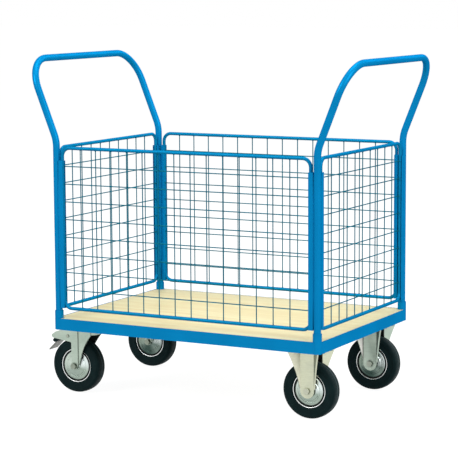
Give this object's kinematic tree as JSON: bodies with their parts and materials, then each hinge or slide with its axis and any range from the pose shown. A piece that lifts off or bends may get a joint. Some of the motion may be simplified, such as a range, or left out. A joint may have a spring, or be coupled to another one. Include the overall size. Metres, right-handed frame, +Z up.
{
  "type": "four-sided platform trolley",
  "caption": "Platform trolley with a wooden deck in a blue steel frame, lift-out mesh panels on all sides, bent push handles at both ends, and swivel, braked and fixed casters.",
  "frame": {"origin": "on the floor, under the middle of the platform", "axes": "+X along the platform towards the fixed casters, +Y across it from the front to the rear long side, +Z up"},
  "size_m": [1.0304, 0.6, 0.983],
  "materials": {
    "blue_paint": "satin powder coat",
    "deck_wood": "clear-sealed board",
    "zinc_plate": "bright zinc plate",
    "bearing_steel": "ground steel",
    "tyre_rubber": "matt black"
  },
  "bodies": {
    "chassis": {"caster_bolts": "zinc_plate", "caster_nuts": "zinc_plate", "corner_sockets": "blue_paint", "deck_bearers": "blue_paint", "deck_board": "deck_wood", "deck_screws": "zinc_plate", "fixed_axle_bolts": "zinc_plate", "fixed_axle_nuts": "zinc_plate", "fixed_axle_sleeves": "zinc_plate", "front_fixed_fork": "zinc_plate", "front_rail": "blue_paint", "front_swivel_top_plate": "zinc_plate", "handle_bolts": "zinc_plate", "handle_plugs": "zinc_plate", "king_pins": "zinc_plate", "left_caster_crossplate": "blue_paint", "left_end_rail": "blue_paint", "left_panel_channels": "blue_paint", "left_push_handle": "blue_paint", "rear_fixed_fork": "zinc_plate", "rear_rail": "blue_paint", "rear_swivel_top_plate": "zinc_plate", "right_caster_crossplate": "blue_paint", "right_end_rail": "blue_paint", "right_panel_channels": "blue_paint", "right_push_handle": "blue_paint", "swivel_balls": "bearing_steel"},
    "front_panel": {"front_panel_frame": "blue_paint", "front_panel_mesh": "blue_paint"},
    "rear_panel": {"rear_panel_frame": "blue_paint", "rear_panel_mesh": "blue_paint"},
    "left_panel": {"left_panel_frame": "blue_paint", "left_panel_mesh": "blue_paint"},
    "right_panel": {"right_panel_frame": "blue_paint", "right_panel_mesh": "blue_paint"},
    "front_swivel": {"front_swivel_fork": "zinc_plate", "front_swivel_axle_bolt": "zinc_plate", "front_swivel_axle_nut": "zinc_plate", "front_swivel_axle_sleeve": "zinc_plate", "front_brake_pin": "zinc_plate"},
    "front_brake": {"front_brake_pedal": "zinc_plate"},
    "front_swivel_wheel": {"front_swivel_tyre": "tyre_rubber", "front_swivel_rim": "zinc_plate", "front_swivel_rollers": "bearing_steel"},
    "front_fixed_wheel": {"front_fixed_tyre": "tyre_rubber", "front_fixed_rim": "zinc_plate", "front_fixed_rollers": "bearing_steel"},
    "rear_swivel": {"rear_swivel_fork": "zinc_plate", "rear_swivel_axle_bolt": "zinc_plate", "rear_swivel_axle_nut": "zinc_plate", "rear_swivel_axle_sleeve": "zinc_plate", "rear_brake_pin": "zinc_plate"},
    "rear_brake": {"rear_brake_pedal": "zinc_plate"},
    "rear_swivel_wheel": {"rear_swivel_tyre": "tyre_rubber", "rear_swivel_rim": "zinc_plate", "rear_swivel_rollers": "bearing_steel"},
    "rear_fixed_wheel": {"rear_fixed_tyre": "tyre_rubber", "rear_fixed_rim": "zinc_plate", "rear_fixed_rollers": "bearing_steel"}
  },
  "joints": [
    {"name": "front_panel_lift", "type": "slide", "parent": "chassis", "child": "front_panel", "axis": [0, 0, 1], "range_m": [0, 0.44]},
    {"name": "rear_panel_lift", "type": "slide", "parent": "chassis", "child": "rear_panel", "axis": [0, 0, 1], "range_m": [0, 0.44]},
    {"name": "left_panel_lift", "type": "slide", "parent": "chassis", "child": "left_panel", "axis": [0, 0, 1], "range_m": [0, 0.44]},
    {"name": "right_panel_lift", "type": "slide", "parent": "chassis", "child": "right_panel", "axis": [0, 0, 1], "range_m": [0, 0.44]},
    {"name": "front_swivel_turn", "type": "hinge", "parent": "chassis", "child": "front_swivel", "pos_m": [-0.3575, -0.21, 0.185], "axis": [0, 0, 1], "continuous": true},
    {"name": "front_swivel_wheel_roll", "type": "hinge", "parent": "front_swivel", "child": "front_swivel_wheel", "pos_m": [-0.3975, -0.21, 0.08], "axis": [0, 1, 0], "continuous": true},
    {"name": "front_brake_press", "type": "hinge", "parent": "front_swivel", "child": "front_brake", "pos_m": [-0.4178, -0.21, 0.1674], "axis": [0, -1, 0], "range_deg": [0, 9]},
    {"name": "front_fixed_wheel_roll", "type": "hinge", "parent": "chassis", "child": "front_fixed_wheel", "pos_m": [0.3575, -0.21, 0.08], "axis": [0, 1, 0], "continuous": true},
    {"name": "rear_swivel_turn", "type": "hinge", "parent": "chassis", "child": "rear_swivel", "pos_m": [-0.3575, 0.21, 0.185], "axis": [0, 0, 1], "continuous": true},
    {"name": "rear_swivel_wheel_roll", "type": "hinge", "parent": "rear_swivel", "child": "rear_swivel_wheel", "pos_m": [-0.3975, 0.21, 0.08], "axis": [0, 1, 0], "continuous": true},
    {"name": "rear_brake_press", "type": "hinge", "parent": "rear_swivel", "child": "rear_brake", "pos_m": [-0.4178, 0.21, 0.1674], "axis": [0, -1, 0], "range_deg": [0, 9]},
    {"name": "rear_fixed_wheel_roll", "type": "hinge", "parent": "chassis", "child": "rear_fixed_wheel", "pos_m": [0.3575, 0.21, 0.08], "axis": [0, 1, 0], "continuous": true}
  ]
}
